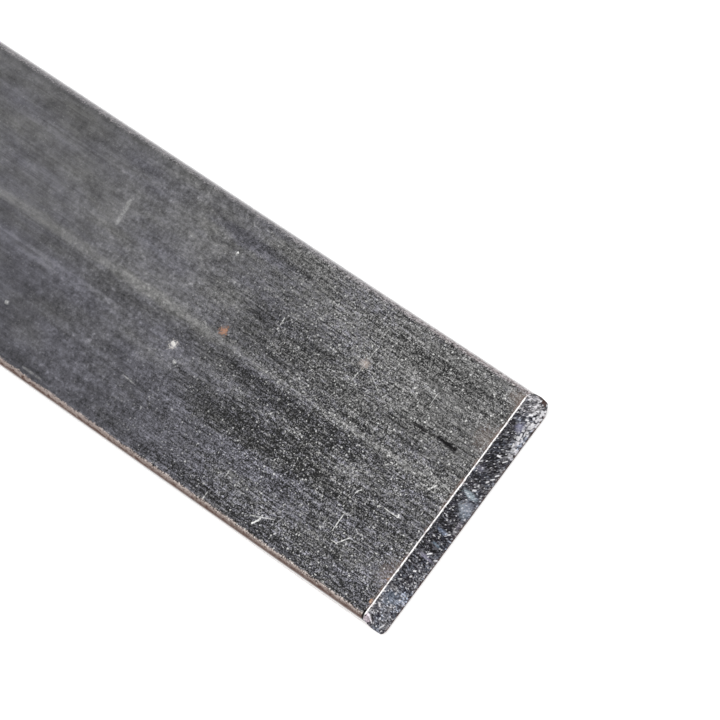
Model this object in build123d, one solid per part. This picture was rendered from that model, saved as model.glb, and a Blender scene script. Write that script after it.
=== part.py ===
from build123d import *

import os

# Hot-rolled steel flat bar: one length of stock, sheared at one end and sawn square at the other.
#
# Millimetres. +X runs along the bar towards the sheared end, +Y across its width and +Z up.
# The origin is at the middle of the length and of the width, on the face that the bar lies on.

# Stock size
bar_length = 500.0
bar_width = 25.0  # over the crowns of the two rolled edges
bar_thickness = 4.0

# Rolled section
edge_crown = 0.12  # each rolled edge bulges this far at mid-thickness
corner_radius = 0.6

# Sheared end, in order from the face that the blade met, underneath, up to the burr
rollover_reach = 0.40  # length of the drawn-down edge along the bar
rollover_drop = 0.26  # its depth through the thickness
lead_in_length = 0.15  # the edge starts as a shallow slope of this length along the bar
lead_in_rise = 0.03  # which rises this far before the edge curves up
burnish_height = 1.05  # the smooth band that the blade rubbed
fracture_setback = 0.10  # the torn zone above it leans back this far by the upper face
burr_height = 0.12  # the lip that is pulled up past the upper face
burr_base = 0.20  # its thickness where it leaves that face
burr_tip = 0.08  # and at its rim
burr_wrap = 0.30  # it reaches this far down the rounded corners

# Sawn end
sawn_edge_break = 0.25  # bevel that takes off the sharp edge

# Places worked out from the sizes
sheared_x = bar_length / 2
sawn_x = -bar_length / 2
rollover_x = sheared_x - rollover_reach
torn_rim_x = sheared_x - fracture_setback
fracture_start = rollover_drop + burnish_height
fracture_slope = fracture_setback / (bar_thickness - fracture_start)
burr_rim_x = torn_rim_x - fracture_slope * burr_height
burr_rim_z = bar_thickness + burr_height


def rolled_section():
    """The cross-section on the YZ plane: flat faces, crowned edges and rounded corners."""
    crown_y = bar_width / 2
    corner_y = crown_y - edge_crown
    with BuildSketch(Plane.YZ) as section:
        with BuildLine():
            Line((-corner_y, 0), (corner_y, 0))
            ThreePointArc((corner_y, 0), (crown_y, bar_thickness / 2), (corner_y, bar_thickness))
            Line((corner_y, bar_thickness), (-corner_y, bar_thickness))
            ThreePointArc((-corner_y, bar_thickness), (-crown_y, bar_thickness / 2), (-corner_y, 0))
        make_face()
        fillet(section.vertices(), corner_radius)
    return section.sketch


def side_outline():
    """The blank seen from the side, with the shape that shearing leaves at +X."""
    with BuildSketch(Plane.XZ) as outline:
        with BuildLine():
            Line((sawn_x, 0), (rollover_x, 0))
            lead_in = Line((rollover_x, 0), (rollover_x + lead_in_length, lead_in_rise))
            TangentArc(lead_in @ 1, (sheared_x, rollover_drop), tangent=lead_in % 1)
            Line((sheared_x, rollover_drop), (sheared_x, fracture_start))
            Line((sheared_x, fracture_start), (burr_rim_x, burr_rim_z))
            Line((burr_rim_x, burr_rim_z), (sawn_x, burr_rim_z))
            Line((sawn_x, burr_rim_z), (sawn_x, 0))
        make_face()
    return outline.sketch


def burr(section):
    """The raised lip across the upper face and round its corners, still to be trimmed in front."""
    root = Pos(torn_rim_x - burr_base, 0, 0) * section
    rim = Pos(burr_rim_x - burr_tip, 0, burr_height) * section
    lip = loft([root.face(), rim.face()]) + extrude(rim, amount=sheared_x - burr_rim_x + burr_tip)
    upper_part = Pos(torn_rim_x, 0, bar_thickness - burr_wrap) * Box(
        2 * burr_base,
        bar_width,
        2 * burr_wrap,
        align=(Align.CENTER, Align.CENTER, Align.MIN),
    )
    return lip & upper_part


def flat_bar():
    """One solid: the rolled length with its burr, cut to the shape that each end has."""
    section = rolled_section()
    blank = Pos(sawn_x, 0, 0) * extrude(section, amount=bar_length) + burr(section)
    side_shape = Pos(0, bar_width, 0) * extrude(side_outline(), amount=2 * bar_width)
    bar = blank & side_shape
    sawn_face = bar.faces().sort_by(Axis.X)[0]
    return chamfer(sawn_face.edges(), sawn_edge_break)


os.makedirs("parts", exist_ok=True)
export_step(flat_bar(), "parts/flat_bar.step")
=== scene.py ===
import math

import bpy
from mathutils import Matrix, Vector, noise


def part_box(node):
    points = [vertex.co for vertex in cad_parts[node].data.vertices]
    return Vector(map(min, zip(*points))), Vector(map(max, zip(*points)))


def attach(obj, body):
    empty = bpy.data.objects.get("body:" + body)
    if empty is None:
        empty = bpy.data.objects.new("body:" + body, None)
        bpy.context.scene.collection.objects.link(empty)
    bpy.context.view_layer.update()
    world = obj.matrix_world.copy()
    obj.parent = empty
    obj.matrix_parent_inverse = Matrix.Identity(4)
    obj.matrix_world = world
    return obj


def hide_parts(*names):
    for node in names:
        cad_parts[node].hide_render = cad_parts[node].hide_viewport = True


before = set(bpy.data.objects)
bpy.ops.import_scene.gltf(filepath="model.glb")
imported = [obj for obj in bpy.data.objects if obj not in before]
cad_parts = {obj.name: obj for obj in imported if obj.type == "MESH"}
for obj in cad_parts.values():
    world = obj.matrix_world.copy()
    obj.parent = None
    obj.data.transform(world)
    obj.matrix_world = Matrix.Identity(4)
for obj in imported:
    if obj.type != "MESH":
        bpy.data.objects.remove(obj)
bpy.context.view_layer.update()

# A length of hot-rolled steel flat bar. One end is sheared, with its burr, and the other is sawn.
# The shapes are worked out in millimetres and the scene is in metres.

MM = 0.001
touching = 0.001  # places closer than this count as the same

# The bar
box_low, box_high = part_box("flat_bar")
sheared_x = box_high.x / MM
sawn_x = box_low.x / MM
thickness = 4.0
edge_crown = 0.12  # how far each rolled edge bulges
upper_inset = 0.26  # and the upper part of the edge on the +Y side leans in this much more
half_width = box_high.y / MM - edge_crown  # out to where the rolled edge starts
corner_radius = 0.6

# The sheared end
rollover_reach = 0.4
rollover_drop = 0.20
lead_in_length = 0.15
lead_in_rise = 0.03
shear_reach = 0.6  # the relief of the cut face dies out this far back along the bar
fracture_start = 1.31  # mean height at which the rubbed band gives way to the torn zone
fracture_blend = 0.25  # and the height over which it does
fracture_setback = 0.06
fracture_relief = 0.05
rubbed_relief = 0.006
burr_height = 0.09
burr_tip = 0.08
burr_base = 0.20
burr_wrap = 0.30
rim_wander = 0.02  # the rim of the burr wanders this far along the bar
rim_blend = 0.2  # from this far below the upper face
burr_top = 0.18  # the bare steel of the burr reaches this far back

# One lower corner of the sheared end, on the +Y side, is worn off
worn_from = 11.3
worn_width = 1.2
worn_height = 2.0
worn_drop = 0.6

# Behind the burr, at the corner on the -Y side, the upper face dips
dip_behind = 0.29  # its middle, from the sheared end
dip_half_length = 0.12
dip_width = 1.1
dip_blend = 0.5
dip_depth = 0.09

# The sawn end
sawn_edge_break = 0.25
saw_mark_depth = 0.008
saw_mark_rate = 7.0  # radians of their wave a millimetre, across the bar

# The mesh: cells across the end faces, and distances from the sheared end at which it has a ring
width_cells = 250
height_cells = 40
end_rings = (
    0.01, 0.03, 0.06, 0.10, 0.14, 0.18, 0.23, 0.30, 0.40,
    0.50, 0.65, 0.85, 1.2, 1.8, 2.8, 4.5, 7.0,
)
near_rings_start = 10.0
near_ring_gap = 5.0
near_rings_end = 80.0
far_ring_gap = 20.0
smooth_angle = math.radians(35)  # edges sharper than this stay sharp

# How light each finish is, from 0 to 1, before its areas, grain and marks
scale_grey = 0.090
torn_grey = 0.042
torn_black = 0.008  # and this much is taken from all of it, which leaves the hollows black
sawn_grey = 0.30
display_power = 2.2  # equal steps of tone on the scale look equal

# Light
floor_size = 6.0  # metres
floor_glow = 0.62  # strength that the floor shines with where it is seen or mirrored
sky_light = 0.62  # strength of the light that falls from the sky, which looks plain white
lamp_place = Vector((-0.3, 0.1, 1.6))  # metres
lamp_size = 1.6
lamp_watts = 12

# Camera
camera_place = Vector((619.529, -33.422, 500.160))
camera_aim = Vector((232.727, 6.233, 4.0))
camera_roll = math.radians(-48.748)
camera_lens = 356.37
camera_sensor = 36


# ---------------------------------------------------------------- shape

def clamp(value):
    """The value, but never below 0 or above 1."""
    return max(0.0, min(1.0, value))


def ease(value):
    """0 to 1 with no corner at either end."""
    value = clamp(value)
    return value * value * (3 - 2 * value)


def ring_distances():
    """How far each ring of the mesh is from the sheared end, from the sheared end back."""
    distances = list(end_rings)
    distance = near_rings_start
    while distance < near_rings_end:
        distances.append(distance)
        distance += near_ring_gap
    length = sheared_x - sawn_x
    while distance < length - 1:
        distances.append(distance)
        distance += far_ring_gap
    return distances + [length - 2 * sawn_edge_break]


def bar_blank():
    """A square-cornered bar: a grid across the sawn end, drawn out ring by ring to the other."""
    bpy.ops.object.select_all(action="DESELECT")
    bpy.ops.mesh.primitive_grid_add(
        x_subdivisions=height_cells,
        y_subdivisions=width_cells,
        size=1,
        location=(sawn_x * MM, 0, thickness * MM / 2),
        rotation=(0, math.pi / 2, 0),
    )
    bar = bpy.context.object
    bar.name = "flat_bar_steel"
    bar.scale = (thickness * MM, 2 * half_width * MM, 1)
    bpy.ops.object.transform_apply(location=True, rotation=True, scale=True)
    rings = sorted(sheared_x - distance for distance in ring_distances()) + [sheared_x]
    bpy.ops.object.mode_set(mode="EDIT")
    place = sawn_x
    for ring in rings:
        step = (ring - place) * MM
        bpy.ops.mesh.extrude_region_move(TRANSFORM_OT_translate={"value": (step, 0, 0)})
        place = ring
    bpy.ops.mesh.select_all(action="SELECT")
    bpy.ops.mesh.normals_make_consistent(inside=False)
    bpy.ops.object.mode_set(mode="OBJECT")
    return bar


def reshape(bar, **shifts):
    """Moves the vertices along X, Y or Z by the millimetres that each function gives."""
    places = [vertex.co / MM for vertex in bar.data.vertices]
    for axis, shift in shifts.items():
        moves = [shift(*place) for place in places]
        for sign in (1, -1):
            reach = max(sign * move for move in moves)
            if reach <= 0:
                continue
            group = bar.vertex_groups.new(name=f"{axis}{sign}")
            for index, move in enumerate(moves):
                if sign * move > 0:
                    group.add([index], sign * move / reach, "REPLACE")
            push = bar.modifiers.new(group.name, "DISPLACE")
            push.direction = axis
            push.mid_level = 0
            push.strength = sign * reach * MM
            push.vertex_group = group.name
    for name in [modifier.name for modifier in bar.modifiers]:
        bpy.ops.object.modifier_apply(modifier=name)
    bar.vertex_groups.clear()


def corner_shares(y, z):
    """How far a point is into the square at a corner, in width and in height, from 0 to 1."""
    across = clamp((abs(y) - half_width + corner_radius) / corner_radius)
    up = clamp((abs(z - thickness / 2) - thickness / 2 + corner_radius) / corner_radius)
    return across, up


def section_y(x, y, z):
    """How far a point moves across the bar, to round the corners and bulge the rolled edges."""
    across, up = corner_shares(y, z)
    rounding = corner_radius * across * (1 - math.sqrt(1 - up * up / 2))
    height_share = (z - thickness / 2) / (thickness / 2)
    outermost = ease(abs(y) / half_width * 5 - 4)
    bulge = edge_crown * (1 - height_share * height_share) * outermost
    if y > 0 and height_share > 0:
        bulge -= upper_inset * height_share * height_share * outermost
    return (bulge - rounding) * math.copysign(1, y)


def section_z(x, y, z):
    """How far it moves up or down, which is the other half of the rounding."""
    across, up = corner_shares(y, z)
    rounding = corner_radius * up * (1 - math.sqrt(1 - across * across / 2))
    return math.copysign(rounding, thickness / 2 - z)


def end_fade(x):
    """1 at the sheared end, and 0 from the reach of its relief on."""
    share = clamp(1 - (sheared_x - x) / shear_reach)
    return share * share


def ripple(*place):
    """Smooth noise from -1 to 1."""
    return noise.noise(Vector(place))


def torn_line(y):
    """The height of the wavy line where the torn zone starts."""
    return fracture_start + 0.35 * ripple(y * 0.45, 3.1, 0.0) + 0.12 * ripple(y * 1.9, 7.7, 0.0)


def shear_x(x, y, z):
    """The torn zone leans back and is rough; the band below it only has shallow steps."""
    fade = end_fade(x)
    if fade == 0:
        return 0.0
    start = torn_line(y)
    torn = ease((z - start) / fracture_blend)
    lean = fracture_setback * clamp((z - start) / (thickness - start))
    slabs = ripple(y * 1.1, z * 0.45, 11.0)
    lumps = ripple(y * 3.2 + z * 0.8, z * 1.7, 23.0)
    grains = ripple(y * 7.5, z * 4.5, 31.0)
    rough = fracture_relief * torn * (0.55 * slabs + 0.45 * lumps + 0.35 * grains + 0.25)
    steps = rubbed_relief * (1 - torn) * ripple(y * 5.0, z * 0.3, 5.0)
    rim = rim_wander * ease((z - thickness + rim_blend) / rim_blend) * ripple(y * 2.3, 17.0, 0.0)
    return -(lean + rough + steps + rim) * fade


def rollover(behind):
    """The share of its full drop that the drawn-down edge has, so far behind the sheared face."""
    curve_length = rollover_reach - lead_in_length
    start_share = lead_in_rise / rollover_drop
    if behind >= curve_length:
        return start_share * clamp((rollover_reach - behind) / lead_in_length)
    along = 1 - behind / curve_length
    return start_share * (1 + along) + (1 - 2 * start_share) * (1 - math.sqrt(1 - along * along))


def shear_z(x, y, z):
    """The lower edge is drawn down and the upper edge is pulled up into a burr."""
    behind = sheared_x - x
    if behind > 1:
        return 0.0
    drawn = rollover_drop * (1 + 0.15 * ripple(y * 0.7, 41.0, 0.0))
    roll = drawn * rollover(behind) * (1 - z / thickness) ** 4
    worn = ease((y - worn_from) / worn_width) * clamp(1 - z / worn_height) ** 2
    roll += worn_drop * worn * clamp(1 - behind) ** 2
    uneven = 0.25 * ripple(y * 1.3, 53.0, 0.0) + 0.15 * ripple(y * 6.0, 59.0, 0.0)
    lip = burr_height * (0.9 + uneven) * ease((burr_base - behind) / (burr_base - burr_tip))
    corner = ease((-y - half_width + dip_width) / dip_blend)
    dip = dip_depth * corner * ease(1 - abs(behind - dip_behind) / dip_half_length)
    share = clamp((z - thickness + burr_wrap) / burr_wrap)
    return roll + (lip - dip) * share


def sawn_cut(x, y, z):
    """A bevel round the sawn end and the marks that the saw's teeth leave across it."""
    ahead = x - sawn_x
    if ahead > touching:
        return 0.0
    inside = min(half_width + edge_crown - abs(y), z, thickness - z)
    across, up = corner_shares(y, z)
    if across > 0 and up > 0:
        inside = corner_radius - corner_radius * math.hypot(across, up)
    bevel = sawn_edge_break * clamp(1 - inside / sawn_edge_break)
    wander = 1.5 * ripple(y * 0.8, 0.0, 71.0)
    marks = saw_mark_depth * (math.sin(y * saw_mark_rate + z * 0.5 + wander) + 1)
    return bevel + marks


bar = bar_blank()
scale_slot, sheared_slot, sawn_slot = range(3)
for polygon in bar.data.polygons:
    centre = polygon.center / MM
    at_sheared_end = centre.x > sheared_x - touching
    on_burr = centre.x > sheared_x - burr_top and centre.z > thickness - burr_wrap
    if at_sheared_end or on_burr:
        polygon.material_index = sheared_slot
    elif centre.x < sawn_x + touching:
        polygon.material_index = sawn_slot
    else:
        polygon.material_index = scale_slot
reshape(bar, Y=section_y, Z=section_z)
reshape(bar, X=shear_x, Z=shear_z)
reshape(bar, X=sawn_cut)
bpy.ops.object.shade_smooth_by_angle(angle=smooth_angle)


# ---------------------------------------------------------------- finishes

class Value:
    """A number that varies over a surface. Arithmetic on it adds Math nodes."""

    def __init__(self, finish, socket):
        self.finish = finish
        self.socket = socket

    def maths(self, operation, *terms):
        return self.finish.node("ShaderNodeMath", {"operation": operation}, dict(enumerate(terms)))

    def __add__(self, other):
        return self.maths("ADD", self, other)

    __radd__ = __add__

    def __sub__(self, other):
        return self.maths("SUBTRACT", self, other)

    def __rsub__(self, other):
        return self.maths("SUBTRACT", other, self)

    def __mul__(self, other):
        return self.maths("MULTIPLY", self, other)

    __rmul__ = __mul__

    def __truediv__(self, other):
        return self.maths("DIVIDE", self, other)

    def __pow__(self, other):
        return self.maths("POWER", self, other)

    def __neg__(self):
        return self.maths("MULTIPLY", self, -1.0)

    def __abs__(self):
        return self.maths("ABSOLUTE", self)

    def least(self, other):
        return self.maths("MINIMUM", self, other)

    def most(self, other):
        return self.maths("MAXIMUM", self, other)

    def exp(self):
        return self.maths("EXPONENT", self)

    def between(self, low, high):
        """0 below low, 1 above high, and smooth between them. It falls where low is above high."""
        settings = {"interpolation_type": "SMOOTHSTEP", "clamp": True}
        flip = low > high
        sockets = {"Value": self, "From Min": min(low, high), "From Max": max(low, high)}
        sockets["To Min"] = 1.0 if flip else 0.0
        sockets["To Max"] = 0.0 if flip else 1.0
        return self.finish.node("ShaderNodeMapRange", settings, sockets)


class Finish:
    """A material, or a world, and the nodes that make it. Places are in millimetres."""

    def __init__(self, name, kind=bpy.data.materials):
        self.material = kind.new(name)
        self.material.use_nodes = True
        self.tree = self.material.node_tree
        self.tree.nodes.clear()
        coordinates = self.node("ShaderNodeTexCoord", {}, {}, "Object")
        self.place = self.vector("SCALE", coordinates, Scale=1 / MM)
        self.x, self.y, self.z = (
            self.node("ShaderNodeSeparateXYZ", {}, {0: self.place}, axis) for axis in "XYZ"
        )

    def node(self, kind, settings, sockets, output=0):
        """Adds a node: settings first, then the values or links of its sockets."""
        node = self.tree.nodes.new(kind)
        for name, setting in settings.items():
            setattr(node, name, setting)
        for key, value in sockets.items():
            if isinstance(value, Value):
                self.tree.links.new(value.socket, node.inputs[key])
            else:
                node.inputs[key].default_value = value
        return Value(self, node.outputs[output])

    def vector(self, operation, *terms, output=0, **named):
        sockets = dict(enumerate(terms))
        sockets.update(named)
        return self.node("ShaderNodeVectorMath", {"operation": operation}, sockets, output)

    def pattern_place(self, place, per_mm, seed, steps):
        """Where to read a pattern: so many features a millimetre on each axis, moved by a seed."""
        stretched = self.vector("MULTIPLY", place or self.place, per_mm)
        return self.vector("ADD", stretched, tuple(seed * step for step in steps))

    def noise(self, per_mm, detail, roughness, seed, place=None):
        """Noise about 0, mostly from -2 to 2, with that many features a millimetre on each axis."""
        moved = self.pattern_place(place, per_mm, seed, (13.7, 7.3, 3.1))
        sockets = {"Vector": moved, "Scale": 1.0, "Detail": detail, "Roughness": roughness}
        return (self.node("ShaderNodeTexNoise", {"noise_dimensions": "3D"}, sockets) - 0.5) * 8.0

    def cells(self, moved, output):
        """A pattern of random cells: the distance to the middle of each, or a colour of its own."""
        settings = {"voronoi_dimensions": "3D", "feature": "F1"}
        return self.node("ShaderNodeTexVoronoi", settings, {"Vector": moved, "Scale": 1.0}, output)

    def chance(self, colours):
        """A random number from 0 to 1 out of the random colours of cells."""
        return self.node("ShaderNodeSeparateColor", {}, {0: colours})

    def grit(self, per_mm, seed, place=None):
        """A random number from -1 to 1 in each small cell, with that many cells a millimetre."""
        moved = self.pattern_place(place, per_mm, seed, (3.3, 6.1, 8.7))
        return self.chance(self.cells(moved, "Color")) * 2.0 - 1.0

    def glint_dots(self, per_mm, seed, share, size):
        """Round dots of uneven size: a share of the cells has one."""
        cells = self.cells(self.pattern_place(None, per_mm, seed, (5.3, 9.1, 2.7)), "Distance")
        chance = self.chance(Value(self, cells.socket.node.outputs["Color"]))
        dot_size = chance.between(1 - share, 1.0) * size
        return ((dot_size - cells) / (0.35 * size)).least(1.0).most(0.0)

    def blob(self, middle, halves, ragged):
        """An oval patch, 1 in the middle, with a soft and ragged edge."""
        apart = self.vector("SUBTRACT", self.place, middle)
        scaled = self.vector("MULTIPLY", apart, tuple(1 / half for half in halves))
        far = self.vector("LENGTH", scaled, output="Value") + ragged
        return far.between(1.0, 0.25)

    def scratch(self, start, end, width, ragged):
        """A straight scratch between two points, 1 along its middle."""
        first = Vector(start)
        run = Vector(end) - first
        apart = self.vector("SUBTRACT", self.place, tuple(first))
        along = self.vector("DOT_PRODUCT", apart, tuple(run), output="Value") / run.length_squared
        along = along.least(1.0).most(0.0)
        nearest = self.vector("SCALE", tuple(run), Scale=along)
        far = self.vector("DISTANCE", apart, nearest, output="Value") + ragged
        return far.between(width / 2, width / 8)

    def mix(self, factor, first, second, blend="MIX"):
        """Mixes two colours, which are sockets 6 and 7 of the node. The mixed one is output 2."""
        settings = {"data_type": "RGBA", "blend_type": blend, "clamp_factor": True}
        return self.node("ShaderNodeMix", settings, {0: factor, 6: first, 7: second}, 2)

    def grey(self, value):
        return self.node("ShaderNodeCombineColor", {}, {0: value, 1: value, 2: value})

    def bump(self, height, strength, distance):
        sockets = {"Height": height, "Strength": strength, "Distance": distance * MM}
        return self.node("ShaderNodeBump", {}, sockets)

    def surface(self, **sockets):
        named = {name.replace("_", " "): value for name, value in sockets.items()}
        self.finish_with(self.node("ShaderNodeBsdfPrincipled", {}, named))

    def finish_with(self, shader, kind="ShaderNodeOutputMaterial"):
        output = self.tree.nodes.new(kind)
        self.tree.links.new(shader.socket, output.inputs["Surface"])

    def seen_or_mirrored(self):
        """1 for what the camera sees, directly or mirrored, and 0 for the light that falls."""
        seen = self.node("ShaderNodeLightPath", {}, {}, "Is Camera Ray")
        return seen.most(self.node("ShaderNodeLightPath", {}, {}, "Is Glossy Ray"))


def on_top(x, y):
    """A place on the upper face."""
    return (x, y, thickness)


def on_end(y, z):
    """A place on the sheared face."""
    return (sheared_x, y, z)


def add_areas(steel, value, areas, ragged):
    """Adds oval areas of the upper face to a value, each by its own depth."""
    for middle_x, middle_y, half_x, half_y, depth in areas:
        area = steel.blob(on_top(middle_x, middle_y), (half_x, half_y, 2), ragged)
        value = value + area * depth
    return value


def rgb(red, green, blue):
    """An RGBA colour from display values of 0 to 255."""
    def linear(value):
        value /= 255
        return value / 12.92 if value <= 0.04045 else ((value + 0.055) / 1.055) ** 2.4
    return (linear(red), linear(green), linear(blue), 1.0)


# Lighter and darker areas of the scale: middle along and across, half sizes, and depth
scale_areas = (
    (205.0, 0.72, 95.0, 0.60, 0.42),
    (205.0, -2.02, 75.0, 0.26, 0.30),
    (205.0, -2.60, 75.0, 0.30, 0.26),
    (205.0, 9.75, 75.0, 0.55, -0.26),
    (238.0, 9.60, 13.0, 0.90, -0.26),
    (205.0, 8.00, 75.0, 0.30, 0.12),
    (225.0, -6.42, 40.0, 0.32, 0.24),
    (240.0, -9.42, 16.0, 0.22, 0.22),
    (225.0, -11.0, 60.0, 1.10, -0.34),
    (205.0, -0.60, 60.0, 1.30, -0.18),
    (231.5, -0.75, 16.0, 1.55, -0.78),
    (205.0, -5.00, 70.0, 1.50, -0.16),
    (230.0, -4.20, 19.0, 2.60, -0.95),
    (230.0, -11.32, 14.0, 0.13, -0.45),
    (225.0, -11.56, 45.0, 0.12, 0.25),
    (236.0, 11.69, 16.0, 0.12, -0.45),
    (241.0, -4.00, 11.0, 0.20, -0.30),
    (240.0, -1.60, 14.0, 0.16, -0.25),
    (235.0, 1.50, 15.0, 0.50, -0.26),
    (225.0, 4.40, 9.0, 3.20, -0.50),
    (232.0, 2.60, 15.0, 2.00, -0.40),
    (240.0, 6.60, 11.0, 2.10, 0.30),
    (234.0, -8.80, 13.0, 1.30, 0.14),
    (207.0, 4.00, 18.0, 4.50, 0.06),
    (244.9, -2.95, 0.9, 0.35, -0.6),
    (197.0, 2.50, 24.0, 7.50, 0.17),
    (209.0, 7.00, 4.0, 3.20, 0.26),
    (213.5, 1.50, 5.0, 4.00, 0.18),
    (216.5, -4.00, 5.0, 1.90, 0.44),
    (220.5, -10.3, 7.0, 2.00, 0.26),
    (229.5, 5.60, 4.5, 2.20, 0.20),
    (230.0, -3.60, 7.0, 4.00, -0.18),
    (237.2, -5.50, 3.2, 1.60, 0.30),
    (243.3, -3.90, 5.2, 3.20, -0.42),
    (237.0, 9.50, 10.0, 3.00, -0.14),
)

# The same for its colour, where more is bluer
scale_tints = (
    (205.0, 0.72, 95.0, 0.90, -0.45),
    (229.0, -6.90, 8.0, 1.6, 0.9),
    (240.0, -6.00, 9.0, 1.4, 0.5),
    (216.0, 9.60, 10.0, 1.0, 0.7),
    (241.0, 7.00, 10.0, 4.5, -0.5),
)

# Bright scratches and dark gouges in the scale: start, end, width and strength
scale_scratches = (
    ((241.50, -5.70), (241.55, -7.60), 0.16, 0.8),
    ((242.70, -8.30), (243.60, -7.20), 0.14, 1.0),
    ((242.00, -8.30), (242.80, -8.28), 0.14, 0.6),
    ((233.20, -10.60), (235.70, -9.70), 0.14, 0.7),
    ((233.90, -11.10), (234.40, -10.40), 0.26, 1.0),
    ((247.30, 0.15), (247.75, 0.80), 0.25, 0.8),
    ((244.75, -3.35), (246.45, -3.38), 0.12, 0.8),
    ((246.35, -3.10), (246.50, -3.30), 0.22, 1.0),
    ((233.50, 7.90), (233.35, 4.20), 0.16, 0.6),
    ((247.60, 1.35), (249.50, 1.05), 0.12, 0.5),
    ((227.80, -11.10), (227.85, -11.80), 0.18, 0.7),
    ((228.40, -8.20), (228.35, -9.10), 0.16, 0.6),
    ((235.00, 5.60), (236.60, 4.70), 0.12, 0.5),
    ((200.40, 6.80), (200.70, 4.30), 0.75, 0.20),
    ((214.40, -1.90), (214.70, -2.00), 0.50, 1.0),
    ((215.80, -3.20), (216.00, -3.20), 0.36, 0.8),
    ((214.20, 8.10), (214.25, 7.95), 0.36, 0.8),
    ((195.80, -7.40), (195.95, -7.40), 0.50, 0.40),
    ((223.05, 5.60), (223.15, 4.40), 0.22, 0.6),
    ((233.30, 9.90), (233.10, 8.70), 0.12, 0.45),
    ((236.50, 8.30), (236.45, 7.20), 0.10, 0.45),
    ((241.90, 7.60), (241.95, 6.40), 0.12, 0.50),
    ((240.30, -6.60), (240.35, -7.90), 0.10, 0.40),
    ((213.80, -6.90), (212.00, -6.80), 0.18, 0.30),
    ((202.00, -11.40), (204.50, -11.40), 0.34, 0.14),
)
scale_gouges = (
    ((241.90, 4.28), (243.25, 4.25), 0.68, 0.90),
    ((243.20, 4.25), (245.05, 4.42), 0.38, 0.72),
    ((244.90, 4.42), (247.10, 4.34), 0.78, 1.0),
    ((235.20, -4.00), (241.00, -4.02), 0.13, 0.55),
    ((241.00, -4.02), (244.50, -3.95), 0.10, 0.35),
    ((232.00, -1.70), (238.00, -1.72), 0.10, 0.40),
    ((227.50, 2.95), (233.00, 2.92), 0.10, 0.35),
    ((238.00, 9.75), (248.00, 9.80), 0.12, 0.40),
)

# Spots on the scale, mostly of rust: middle, half sizes, strength and colour
scale_spots = (
    (218.30, 1.60, 0.52, 0.55, 0.80, rgb(166, 124, 100)),
    (249.55, -10.7, 0.22, 0.30, 0.80, rgb(190, 146, 108)),
    (249.60, -8.3, 0.20, 0.26, 0.50, rgb(170, 128, 98)),
    (233.40, 6.25, 0.60, 0.50, 0.65, rgb(168, 156, 148)),
    (214.55, -1.98, 0.55, 0.45, 0.80, rgb(196, 192, 188)),
)


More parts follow.
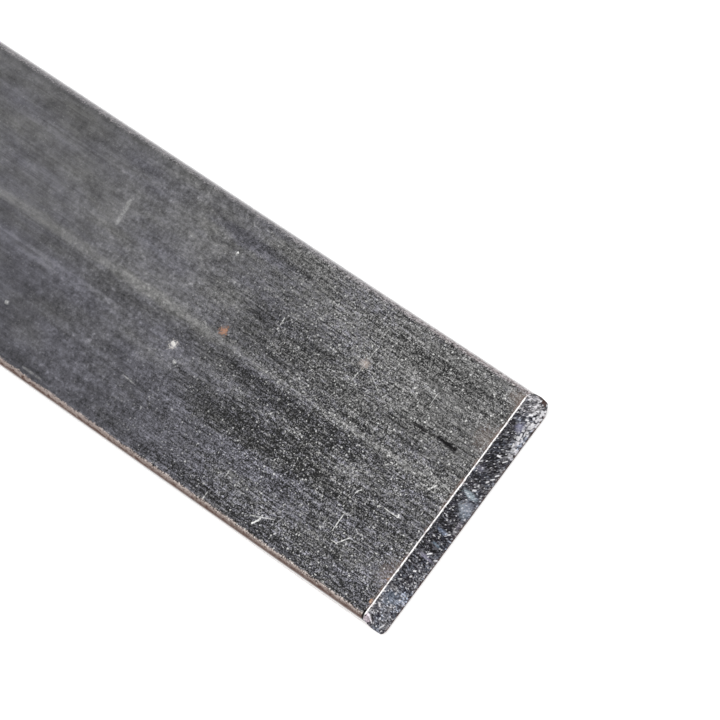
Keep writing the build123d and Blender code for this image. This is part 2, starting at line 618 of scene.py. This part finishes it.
def mill_scale():
    """Dark rolled scale with lengthwise streaks, scratches and a little rust, and pale specks
    painted in as glints.
    """
    steel = Finish("mill_scale")
    x, y, z = steel.x, steel.y, steel.z
    # The grain is crisp by the sheared end, soft for a stretch behind it, and then crisp again
    beyond = x.between(172.0, 150.0)
    crisp = x.between(206.0, 237.0).most(beyond * 0.7) * 0.92 + 0.08
    sharp = x.between(208.0, 226.0).most(beyond)
    soft = x.between(190.0, 208.0) * x.between(235.0, 214.0) * 0.95 + 0.36

    bands = steel.noise((0.008, 1.3, 1.3), 4.0, 0.6, 1)
    lines = steel.noise((0.05, 5.0, 5.0), 3.0, 0.6, 2)
    clouds = steel.noise((0.16, 0.32, 0.32), 4.0, 0.55, 3)
    mottle = steel.noise((0.35, 2.2, 2.2), 3.0, 0.6, 4)
    blotches = steel.noise((0.60, 0.95, 0.95), 3.0, 0.6, 17)
    along = steel.noise((0.32, 8.5, 8.5), 2.0, 0.6, 5)
    spots = steel.noise((1.1, 5.0, 5.0), 2.0, 0.6, 10)
    fine = steel.noise((2.8, 3.3, 3.3), 3.0, 0.65, 18)
    flecked = steel.noise((1.3, 1.7, 1.7), 2.0, 0.6, 19)
    rough = steel.noise((0.25, 1.0, 1.0), 3.0, 0.6, 16) * 0.18 + 1.0
    grains = steel.grit((10.5, 10.5, 10.5), 6)
    dashes = steel.grit((1.4, 9.0, 9.0), 12)
    ticks = steel.grit((9.0, 2.2, 9.0), 13)
    pits = steel.grit((6.0, 8.0, 8.0), 11).between(-0.84, -0.92)

    # How light the scale is, first in large areas and then grain by grain
    tone = bands * (sharp * 0.04 + 0.09) + lines * (sharp * 0.22 + 0.10) + clouds * 0.10
    tone = tone + sharp * (mottle * 0.08 + spots * 0.06) + blotches * (0.20 - sharp * 0.12)
    tone = tone + beyond * (bands * 0.08 + lines * 0.06)
    pale = fine.between(1.0, 2.0) + flecked.between(1.1, 2.0) * 0.7
    tone = tone + soft * (fine * 0.24 + flecked * 0.16 + pale * 0.45)
    ragged = clouds * 0.10 + mottle * 0.08
    tone = add_areas(steel, tone, scale_areas, ragged)
    near = x.between(212.0, 228.0)
    tone = tone + y * (near * 0.010 + 0.012) - near * 0.08
    smoother = steel.blob(on_top(245.0, 6.0), (9.0, 6.5, 2), clouds * 0.2) * 0.25
    by_edge = steel.blob(on_top(234.0, -12.0), (18.0, 1.6, 2), clouds * 0.1) * 0.35
    gritty = crisp * (rough - smoother.most(by_edge) - tone * 0.35).most(0.6).least(1.4)
    tone = tone + gritty * (grains * 1.78 + dashes * 0.76 + ticks * 0.30 - pits * 0.6)
    tone = tone + crisp * along * 0.36
    shade = (tone / display_power + 1.0).most(0.1) ** display_power * scale_grey

    hue = steel.noise((0.10, 0.35, 0.35), 3.0, 0.6, 8) * 0.30 + y * -0.035
    hue = hue + x.between(245.0, 205.0) * 0.45
    hue = hue + steel.noise((1.6, 3.0, 3.0), 2.0, 0.6, 9) * crisp * 0.4 + 0.25
    hue = add_areas(steel, hue, scale_tints, ragged)
    tint = steel.mix(hue, rgb(254, 253, 252), rgb(240, 239, 255))
    colour = steel.mix(1.0, steel.grey(shade), tint, "MULTIPLY")

    # Painted glints: pale dots and single bright grains in the colour, where crystals of the scale
    # would catch the light
    glint_dots = steel.glint_dots((3.2, 3.8, 3.8), 1, 0.34, 0.30) * crisp
    big_glint_dots = steel.glint_dots((0.9, 1.1, 1.1), 2, 0.25, 0.13) * crisp
    glints = steel.grit((6.5, 7.5, 7.5), 10).between(0.955, 0.985) * crisp
    bright = (glint_dots * 0.62).most(big_glint_dots * 0.9).most(glints * 0.65)
    broken = (steel.grit((4.5, 5.5, 5.5), 7) * 0.5 + grains * 0.2 + 0.70).most(0.0)
    for start, end, width, strength in scale_scratches:
        mark = steel.scratch(on_top(*start), on_top(*end), width, fine * width * 0.12)
        bright = bright.most(mark * strength * broken)
    bright = bright.least(1.0).most(0.0)
    colour = steel.mix(bright, colour, rgb(226, 226, 224))

    # The dip behind the burr at one corner gets a painted shadow, as dark as the gouges
    dip = x.between(249.50, 249.60) * (y + grains * 0.06).between(-11.3, -11.55)
    gouges_and_dip_shadow = dip * z.between(3.3, 3.5) * 0.95
    for start, end, width, strength in scale_gouges:
        uneven = spots * 0.05 + grains * 0.06
        mark = steel.scratch(on_top(*start), on_top(*end), width, uneven)
        gouges_and_dip_shadow = gouges_and_dip_shadow.most(mark * strength)
    colour = rust(steel, colour, grains)
    colour = edge_strips(steel, colour, grains, crisp)
    colour = steel.mix(gouges_and_dip_shadow, colour, rgb(22, 21, 22))
    # Partly rust and partly painted shade: low on the rusty side, over a short stretch, the colour
    # is dark brown and dull, standing in for the floor's shadow mirrored there
    rust_and_shade_foot = y.between(0.1, -0.1) * (z + fine * 0.08).between(2.25, 1.95)
    rust_and_shade_foot = rust_and_shade_foot * (x + fine * 1.5).between(228.0, 240.0)
    colour = steel.mix(rust_and_shade_foot * 0.7, colour, rgb(118, 88, 76))

    height = grains * 0.8 + along * 0.3 - bright * 0.8
    steel.surface(
        Base_Color=colour,
        Coat_Weight=abs(z - thickness / 2).between(1.68, 1.60) * (1 - rust_and_shade_foot),
        Coat_Roughness=0.08,
        Metallic=gouges_and_dip_shadow * 0.45 + 0.55 - rust_and_shade_foot * 0.5,
        Specular_IOR_Level=0.3,
        Roughness=(grains * 0.05 + 0.46 + rust_and_shade_foot * 0.4).most(0.3).least(0.9),
        Normal=steel.bump(height, 0.35, 0.02),
    )
    return steel.material


def edge_strips(steel, colour, grains, crisp):
    """The rounded corners, rusty on one side and greyer on the other, and the stained edges. The
    rusty corner has painted light and shade: pale at its top and darker as it turns down.
    """
    wear = steel.noise((0.35, 0.0, 0.0), 4.0, 0.6, 12)
    nicks = steel.noise((1.8, 1.0, 1.0), 3.0, 0.65, 13)
    flakes = steel.grit((3.2, 7.0, 7.0), 27)
    out = abs(steel.y) - (half_width - corner_radius)
    rusty = steel.y.between(0.1, -0.1)
    ragged = out + wear * 0.015 + nicks * 0.02

    speckle = (grains * 0.80 + flakes * 0.45) * (crisp * 0.85 + 0.15) + nicks * 0.15
    pale_share = speckle.most(0.0).least(1.0)
    dark_share = (-speckle).most(0.0).least(1.0)
    # Painted light and shade: the rusty corner goes from pale where it faces up to dark brown as it
    # turns down to the side
    down = (ragged + grains * 0.08 + flakes * 0.10 + nicks * 0.04).between(0.22, 0.56)
    crust = steel.mix(pale_share, rgb(166, 152, 146), rgb(240, 230, 224))
    crust = steel.mix(dark_share, crust, rgb(84, 66, 58))
    rust_and_painted_shade_edge = steel.mix(down, crust, rgb(80, 54, 44))
    rusty_start = (ragged + flakes * 0.06 + grains * 0.06).between(0.03, 0.25)
    pinkish = (steel.x.between(222.0, 244.0) + nicks * 0.25 + flakes * 0.2).most(0.0).least(1.0)
    grey_edge = steel.mix(pinkish, rgb(136, 134, 137), rgb(146, 135, 135))
    grey_edge = steel.mix(pale_share, grey_edge, rgb(196, 192, 195))
    grey_edge = steel.mix(dark_share, grey_edge, rgb(74, 70, 73))
    grey_start = (ragged + flakes * 0.07 + grains * 0.14).between(-0.02, 0.26)
    strip = steel.mix(rusty, grey_edge, rust_and_painted_shade_edge)
    start = grey_start + (rusty_start - grey_start) * rusty
    scale = colour
    colour = steel.mix(start, colour, strip)

    glints = steel.glint_dots((2.2, 3.0, 3.0), 9, 0.5, 0.36) * crisp
    glints = glints * ragged.between(-0.08, 0.05) * ragged.between(0.30, 0.16)
    colour = steel.mix(glints * 0.8, colour, rgb(236, 231, 226))
    side = (steel.z + nicks * 0.05).between(3.5, 3.1)
    stain = steel.mix(rusty, rgb(150, 146, 146), rgb(140, 112, 98))
    patches = (wear * 0.2 + nicks * 0.15 + flakes * 0.25 + 0.35).most(0.0).least(0.8)
    return steel.mix(side, colour, steel.mix(patches, scale, stain))


def rust(steel, colour, grains):
    """A thin brown line behind the burr, and a few small spots."""
    wobble = steel.noise((0.0, 0.9, 0.0), 3.0, 0.6, 14)
    patchy = steel.noise((2.4, 2.4, 2.4), 3.0, 0.7, 15) * 0.35 + grains * 0.25
    behind = sheared_x - steel.x
    line = behind.between(0.60, 0.25) * (wobble * 0.5 + 0.4 + patchy * 0.6).least(1.0).most(0.0)
    colour = steel.mix(line * 0.55, colour, rgb(126, 104, 92))
    haze = steel.blob(on_top(248.9, 6.6), (1.5, 1.7, 2), patchy) * 0.22
    haze = haze.most(steel.blob(on_top(249.2, -7.7), (1.3, 1.6, 2), patchy) * 0.22)
    haze = haze.most(steel.blob(on_top(249.4, 11.3), (1.3, 1.2, 2), patchy) * 0.30)
    colour = steel.mix(haze, colour, rgb(136, 120, 112))
    for middle_x, middle_y, half_x, half_y, strength, spot_colour in scale_spots:
        uneven = patchy * 0.7 + grains * 0.35
        spot = steel.blob(on_top(middle_x, middle_y), (half_x, half_y, 2), uneven)
        colour = steel.mix(spot * strength, colour, spot_colour)
    return colour


# Lighter and darker areas of the sheared face: middle across and up, half sizes, and depth
end_areas = (
    (-1.8, 3.2, 6.4, 1.7, -1.15),
    (-3.0, 2.0, 4.8, 1.6, -0.45),
    (0.8, 3.5, 2.6, 0.9, -0.60),
    (6.4, 2.9, 4.2, 1.9, -1.05),
    (4.2, 1.9, 2.6, 1.5, -0.80),
    (6.6, 1.9, 1.5, 1.3, -0.70),
    (-11.6, 2.6, 2.8, 3.4, 0.90),
    (-9.2, 2.2, 2.2, 3.0, 0.80),
    (-8.0, 0.9, 2.6, 1.3, 0.65),
    (11.8, 3.0, 1.9, 1.9, 1.50),
    (11.0, 1.2, 2.4, 1.6, 0.95),
    (9.2, 2.2, 0.75, 0.95, 0.60),
    (8.0, 0.8, 1.6, 0.9, 1.10),
    (9.9, 0.9, 0.7, 0.8, 0.60),
    (0.75, 1.3, 0.85, 1.60, 1.10),
    (1.90, 2.2, 0.42, 1.70, 1.00),
    (-2.05, 2.1, 0.36, 1.5, 0.70),
    (-4.75, 1.9, 0.30, 1.8, 0.80),
    (-5.9, 1.3, 0.30, 1.2, 0.40),
    (-1.0, 0.9, 1.4, 0.8, 0.45),
    (4.0, 3.5, 0.7, 0.7, 0.50),
    (10.0, 3.5, 0.28, 0.45, -1.60),
    (-6.8, 2.4, 0.9, 1.0, -0.45),
    (-10.1, 2.3, 0.35, 0.6, -0.50),
)

# Coloured patches on it: middle, half sizes, strength and colour
end_patches = (
    (-9.30, 2.60, 0.85, 1.10, 0.45, rgb(104, 116, 130)),
    (-5.85, 2.10, 0.11, 1.40, 0.50, rgb(132, 130, 140)),
    (-4.72, 2.00, 0.24, 1.60, 0.65, rgb(150, 146, 166)),
    (-3.30, 1.80, 0.16, 0.90, 0.60, rgb(122, 146, 164)),
    (-2.05, 2.30, 0.26, 1.10, 0.60, rgb(136, 148, 172)),
    (-1.03, 2.80, 0.08, 1.10, 0.55, rgb(140, 140, 150)),
    (-0.70, 0.85, 0.45, 0.40, 0.50, rgb(150, 144, 158)),
    (0.45, 1.25, 0.80, 1.25, 0.62, rgb(150, 160, 172)),
    (1.05, 1.45, 0.70, 1.20, 0.60, rgb(146, 152, 166)),
    (0.70, 2.30, 0.32, 0.80, 0.55, rgb(158, 166, 174)),
    (1.92, 2.20, 0.34, 1.50, 0.74, rgb(172, 186, 194)),
    (4.30, 3.25, 0.50, 0.65, 0.45, rgb(140, 138, 154)),
    (9.25, 2.15, 0.65, 0.95, 0.62, rgb(144, 144, 168)),
    (7.40, 1.00, 0.40, 0.45, 0.60, rgb(226, 226, 228)),
    (8.05, 1.20, 0.60, 0.50, 0.55, rgb(216, 214, 218)),
    (9.90, 1.00, 0.42, 0.52, 0.70, rgb(226, 224, 226)),
)

# Bright torn spots on it: start, end, width and strength
end_marks = (
    ((-12.00, 1.25), (-11.65, 1.00), 0.30, 0.7),
    ((-9.10, 1.40), (-9.05, 1.25), 0.22, 0.9),
    ((-6.90, 2.10), (-6.80, 1.98), 0.26, 0.7),
    ((-6.30, 2.20), (-6.22, 1.90), 0.26, 1.0),
    ((-7.70, 3.30), (-7.50, 2.90), 0.16, 0.7),
    ((-4.42, 2.05), (-4.12, 1.60), 0.20, 1.0),
    ((-4.50, 0.75), (-4.30, 0.40), 0.16, 0.9),
    ((-2.00, 1.35), (-1.85, 1.10), 0.20, 0.9),
    ((2.40, 2.20), (2.52, 1.95), 0.34, 0.8),
    ((3.70, 1.40), (3.85, 1.20), 0.28, 0.8),
    ((4.10, 1.10), (4.35, 0.70), 0.18, 0.9),
    ((4.62, 0.85), (4.85, 0.55), 0.26, 0.9),
    ((5.10, 3.20), (5.16, 3.10), 0.18, 0.9),
    ((4.70, 3.95), (4.95, 3.60), 0.14, 0.7),
    ((6.12, 2.40), (6.18, 2.00), 0.26, 0.9),
    ((5.95, 1.20), (6.30, 0.75), 0.18, 1.0),
    ((10.10, 2.15), (10.20, 1.85), 0.26, 0.9),
    ((10.62, 2.15), (10.80, 1.80), 0.30, 1.0),
    ((11.30, 1.60), (11.40, 1.40), 0.20, 0.8),
    ((12.20, 2.10), (12.28, 1.90), 0.20, 0.9),
)


def sheared_steel():
    """The cut face: dark and torn, with pale streaks, crystals whose sparkle is painted in as
    glints, and bright along the burr.
    """
    steel = Finish("sheared_steel")
    y, z = steel.y, steel.z
    steel.place = steel.node("ShaderNodeCombineXYZ", {}, {0: sheared_x, 1: y, 2: z})
    streaks = steel.noise((0.0, 3.4, 0.45), 3.0, 0.65, 21)
    leant = y + z * y.between(-6.0, 5.0) * 0.5
    leaning = steel.node("ShaderNodeCombineXYZ", {}, {0: 0.0, 1: leant, 2: z})
    strokes = steel.noise((0.0, 9.0, 1.6), 2.0, 0.6, 22, leaning)
    grains = steel.grit((3.0, 8.5, 4.6), 23, leaning)
    coarse = steel.grit((3.0, 4.5, 2.4), 24, leaning)
    tone = streaks * 0.30 + strokes * 0.62 + grains * 1.45 + coarse * 0.85
    rough = strokes * 0.10 + coarse * 0.12
    for middle_y, middle_z, half_y, half_z, depth in end_areas:
        area = steel.blob(on_end(middle_y, middle_z), (2, half_y, half_z), rough)
        tone = tone + area * depth
    shade = (tone + z.between(1.2, 0.3) * 0.45 + math.log(torn_grey)).exp() - torn_black
    shade = shade.most(0.002).least(0.80)
    hue = steel.noise((0.0, 0.9, 0.45), 2.0, 0.6, 25) * 0.7 + 0.5
    hue = hue - y.between(-10.2, -11.2) * 0.6 - y.between(10.2, 11.4) * 0.4
    tint = steel.mix(hue, rgb(249, 246, 250), rgb(222, 231, 252))
    colour = steel.mix(1.0, steel.grey(shade), tint, "MULTIPLY")
    colour = steel.mix(shade.between(0.070, 0.020), colour, rgb(226, 210, 255), "MULTIPLY")
    for middle_y, middle_z, half_y, half_z, strength, patch_colour in end_patches:
        patch = steel.blob(on_end(middle_y, middle_z), (2, half_y, half_z), rough * 1.6)
        patch = patch * (grains * 0.40 + strokes * 0.25 + 1.0)
        colour = steel.mix(patch.least(1.0).most(0.0) * strength, colour, patch_colour)
    slivers = steel.grit((0.3, 9.0, 3.4), 28, leaning).between(0.30, 0.80)
    colour = steel.mix(slivers * 0.16, colour, rgb(214, 214, 226))
    # Painted glints: small bright flecks and crystals in the colour, where the torn face would
    # sparkle
    fleck_glints = steel.grit((0.3, 7.5, 4.0), 5, leaning).between(0.84, 0.90)
    low = (z + streaks * 0.2).between(2.4, 1.2) * y.between(6.0, 7.5)
    crystal_glints = steel.grit((0.3, 4.4, 3.8), 6).between(0.30, 0.42) * low
    bright = (fleck_glints * 0.60).most(crystal_glints * 0.75)
    for start, end, width, strength in end_marks:
        mark = steel.scratch(on_end(*start), on_end(*end), width, grains * 0.02)
        bright = bright.most(mark * strength)
    colour = steel.mix(bright, colour, rgb(242, 241, 244))
    brown = (z + coarse * 0.12).between(0.42, 0.16) * (coarse + 1.1).least(1.0)
    colour = steel.mix(brown * 0.85, colour, rgb(128, 98, 90))
    notch = (y + grains * 0.06).between(12.0, 12.12) * (z + grains * 0.1).between(2.0, 1.8)
    notch = notch * z.between(1.0, 1.2)
    rim = (y + grains * 0.05).between(12.28, 12.40) * 0.6
    colour = steel.mix((notch * 0.9).most(rim), colour, rgb(86, 66, 60))
    corner = (y - z * 0.35 + coarse * 0.06).between(-12.95, -13.20) * z.between(2.5, 3.1)
    slash = abs(y - z * 0.34 + 13.0 + grains * 0.03).between(0.11, 0.04) * z.between(2.7, 3.1)
    colour = steel.mix((corner * (grains * 0.6 + 0.5)).most(0.0), colour, rgb(190, 176, 184))
    colour = steel.mix((slash * (grains * 0.5 + 0.7)).least(0.9), colour, rgb(246, 238, 246))
    burr = (z + grains * 0.03).between(thickness - 0.05, thickness + 0.01)
    beads = steel.noise((0.0, 3.0, 0.0), 3.0, 0.65, 26).between(-1.2, 0.2)
    beaded = steel.mix(beads, rgb(206, 198, 198), rgb(255, 253, 252))
    beaded = steel.mix(y.between(11.9, 12.2) * 0.7, beaded, rgb(140, 122, 112))
    colour = steel.mix(burr, colour, beaded)
    dull = (brown + notch + rim).least(1.0)
    height = strokes * 0.3 + grains * 0.8 + coarse * 0.5
    steel.surface(
        Base_Color=colour,
        Metallic=0.75 - dull * 0.75,
        Specular_IOR_Level=0.15,
        Roughness=0.38 + dull * 0.5,
        Normal=steel.bump(height, 0.6, 0.03),
    )
    return steel.material


def sawn_steel():
    """The plain sawn end: grey steel with fine, nearly upright saw marks."""
    steel = Finish("sawn_steel")
    marks = steel.noise((0.0, 6.0, 0.25), 3.0, 0.6, 31)
    dull = steel.noise((0.0, 0.5, 0.5), 3.0, 0.6, 32)
    shade = (marks * 0.14 + dull * 0.12 + math.log(sawn_grey)).exp()
    colour = steel.mix(1.0, steel.grey(shade), rgb(252, 252, 255), "MULTIPLY")
    steel.surface(
        Base_Color=colour,
        Metallic=0.85,
        Roughness=(0.36 + marks * 0.05).most(0.25),
        Normal=steel.bump(marks, 0.4, 0.02),
    )
    return steel.material


for make in (mill_scale, sheared_steel, sawn_steel):  # in the order of the slots
    bar.data.materials.append(make())

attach(bar, "root")
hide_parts("flat_bar")


# ---------------------------------------------------------------- floor, light and camera

def white_sweep():
    """A white floor that still takes a shadow, and looks plain white where nothing shades it."""
    paper = Finish("white_sweep")
    lift = paper.seen_or_mirrored() * floor_glow
    diffuse = paper.node("ShaderNodeBsdfDiffuse", {}, {"Color": (0.9, 0.9, 0.9, 1)})
    glow = paper.node("ShaderNodeEmission", {}, {"Color": (1, 1, 1, 1), "Strength": lift})
    paper.finish_with(paper.node("ShaderNodeAddShader", {}, {0: diffuse, 1: glow}))
    return paper.material


bpy.ops.object.select_all(action="DESELECT")
bpy.ops.mesh.primitive_plane_add(size=floor_size, location=(0, 0, 0))
floor = bpy.context.object
floor.name = "floor"
floor.data.materials.append(white_sweep())

sky = Finish("soft_white", bpy.data.worlds)
strength = sky.seen_or_mirrored() * (1 - sky_light) + sky_light
background = sky.node("ShaderNodeBackground", {}, {"Color": (1, 1, 1, 1), "Strength": strength})
sky.finish_with(background, "ShaderNodeOutputWorld")
bpy.context.scene.world = sky.material

bpy.ops.object.light_add(type="AREA", location=lamp_place)
lamp = bpy.context.object
lamp.data.shape = "SQUARE"
lamp.data.size = lamp_size
lamp.data.energy = lamp_watts
lamp.rotation_euler = (-lamp_place).to_track_quat("-Z", "Y").to_euler()

bpy.ops.object.camera_add(location=camera_place * MM)
camera = bpy.context.object
aim = (camera_aim - camera_place).to_track_quat("-Z", "Y").to_matrix()
camera.rotation_euler = (aim @ Matrix.Rotation(camera_roll, 3, "Z")).to_euler()
camera.data.lens = camera_lens
camera.data.sensor_width = camera_sensor
camera.data.clip_start = 0.01
bpy.context.scene.camera = camera
bpy.context.scene.view_settings.view_transform = "Standard"
